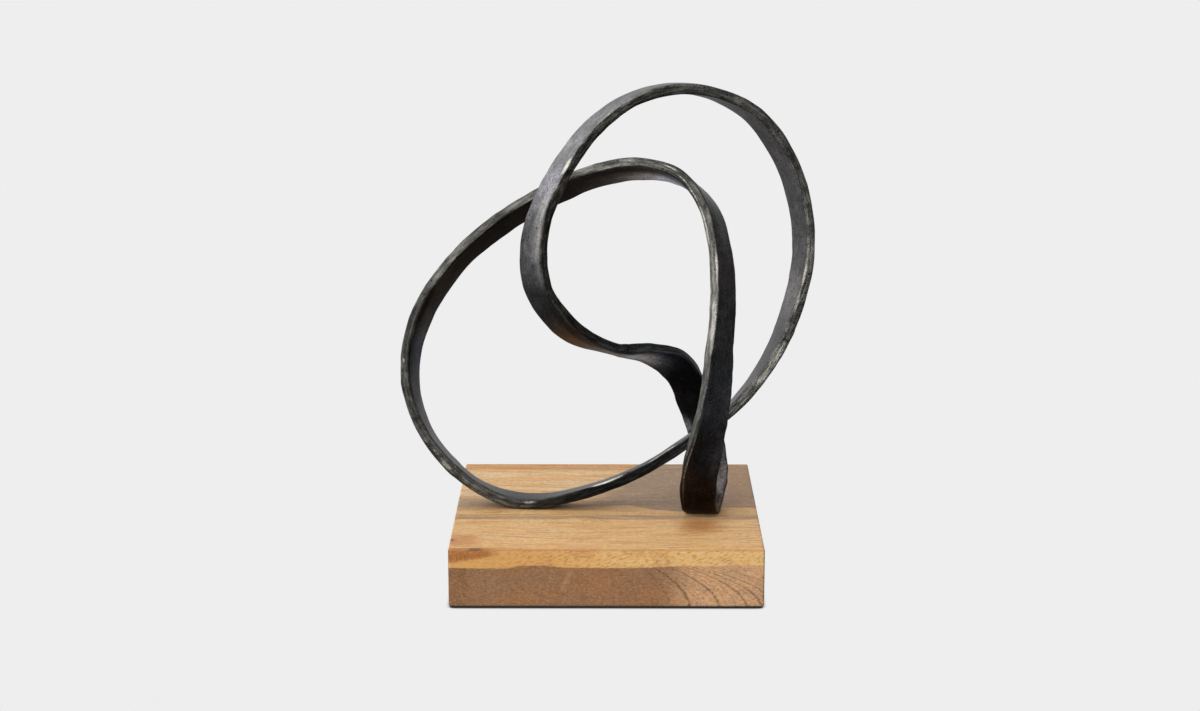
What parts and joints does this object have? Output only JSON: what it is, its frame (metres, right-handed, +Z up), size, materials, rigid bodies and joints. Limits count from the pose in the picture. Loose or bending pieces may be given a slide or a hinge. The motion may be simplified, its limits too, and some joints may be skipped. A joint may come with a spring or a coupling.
{
  "type": "knot sculpture",
  "caption": "Abstract table sculpture: an endless knot of forged dark iron flat bar standing on a square block of solid hardwood.",
  "frame": {"origin": "under the middle of the wood block, on the plane that the felt pads stand on", "axes": "+Z up, +X to the viewer's right, +Y away from the viewer, who looks at the block's long-grain front face"},
  "size_m": [0.2716, 0.2, 0.3229],
  "materials": {
    "wood": "satin oiled hardwood with pale sapwood and brown heartwood",
    "iron": "hammered, blackened and waxed, with rubbed bright edges",
    "screw_steel": "zinc plated",
    "felt": "matt felt"
  },
  "bodies": {
    "root": {"wood_block": "wood", "felt_pad_front_left": "felt", "felt_pad_front_right": "felt", "felt_pad_back_left": "felt", "felt_pad_back_right": "felt", "bar_left_loop_and_foot": "iron", "bar_big_loop": "iron", "bar_low_sweep": "iron", "weld_left": "iron", "weld_waist": "iron", "weld_right": "iron", "cap_screw_left": "screw_steel", "cap_screw_right": "screw_steel", "washer_left": "screw_steel", "washer_right": "screw_steel"}
  },
  "joints": []
}
